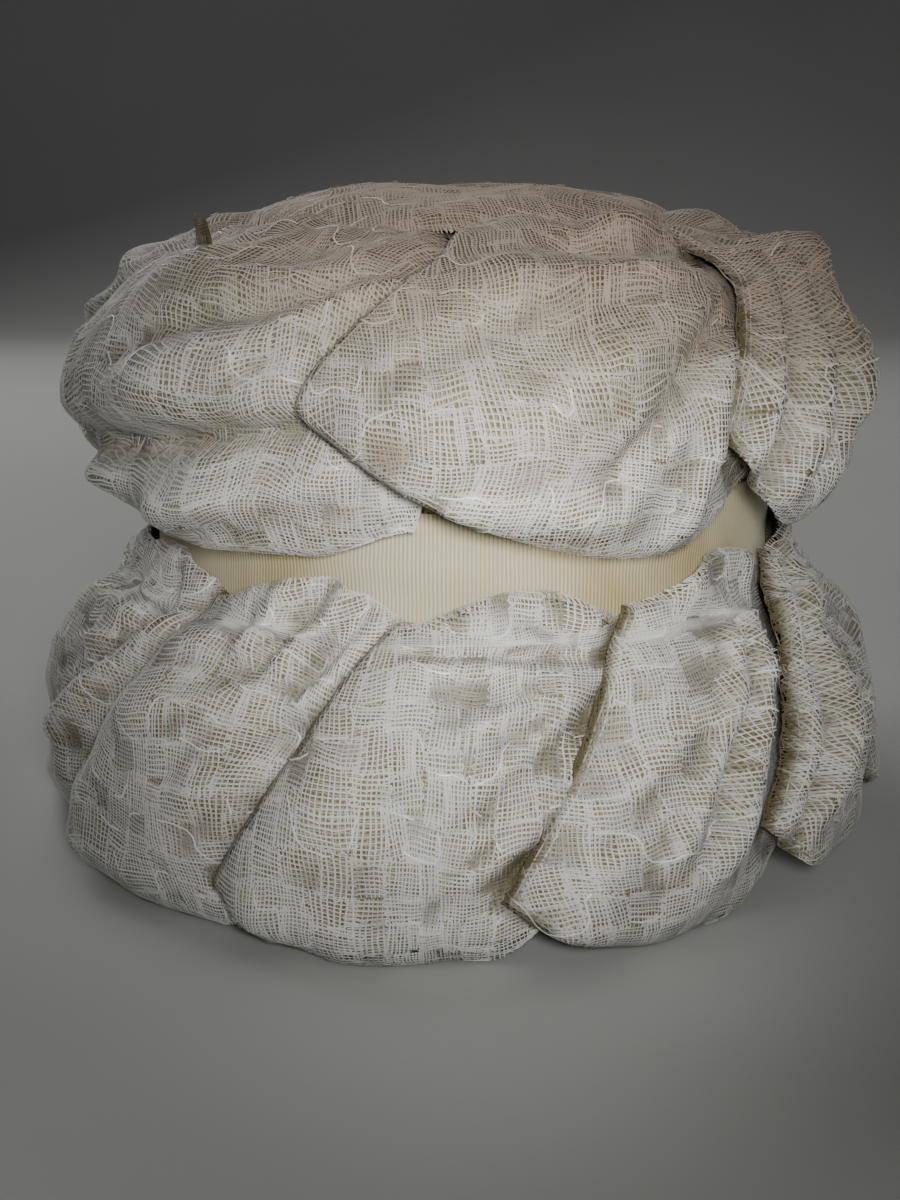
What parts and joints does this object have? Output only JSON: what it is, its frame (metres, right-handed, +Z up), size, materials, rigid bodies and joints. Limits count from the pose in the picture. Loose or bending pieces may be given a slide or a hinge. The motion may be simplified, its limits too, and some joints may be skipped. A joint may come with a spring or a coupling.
{
  "type": "lace petal hat",
  "caption": "Oval cloche-like hat with a full crown, a ribbon band and a drooping bell brim, all shingled with puffed lace petals.",
  "frame": {"origin": "middle of the hat's footprint, on the surface that the brim's lower edge rests on", "axes": "+Z up through the crown, the front of the hat towards -Y, +X to the wearer's left"},
  "size_m": [0.238, 0.2654, 0.1677],
  "materials": {
    "ivory_lace": "open lace with shiny outline threads",
    "grosgrain_ribbon": "ribbed ribbon with a soft sheen",
    "stiffened_net": "matt stiffened net"
  },
  "bodies": {
    "root": {"crown": "stiffened_net", "brim": "stiffened_net", "band": "grosgrain_ribbon", "crown_tip": "ivory_lace", "crown_petal_1": "ivory_lace", "crown_petal_2": "ivory_lace", "crown_petal_3": "ivory_lace", "crown_petal_4": "ivory_lace", "crown_petal_5": "ivory_lace", "crown_petal_6": "ivory_lace", "crown_petal_7": "ivory_lace", "brim_petal_1": "ivory_lace", "brim_petal_2": "ivory_lace", "brim_petal_3": "ivory_lace", "brim_petal_4": "ivory_lace", "brim_petal_5": "ivory_lace", "brim_petal_6": "ivory_lace", "brim_petal_7": "ivory_lace", "brim_petal_8": "ivory_lace", "brim_petal_9": "ivory_lace", "brim_petal_10": "ivory_lace"}
  },
  "joints": []
}
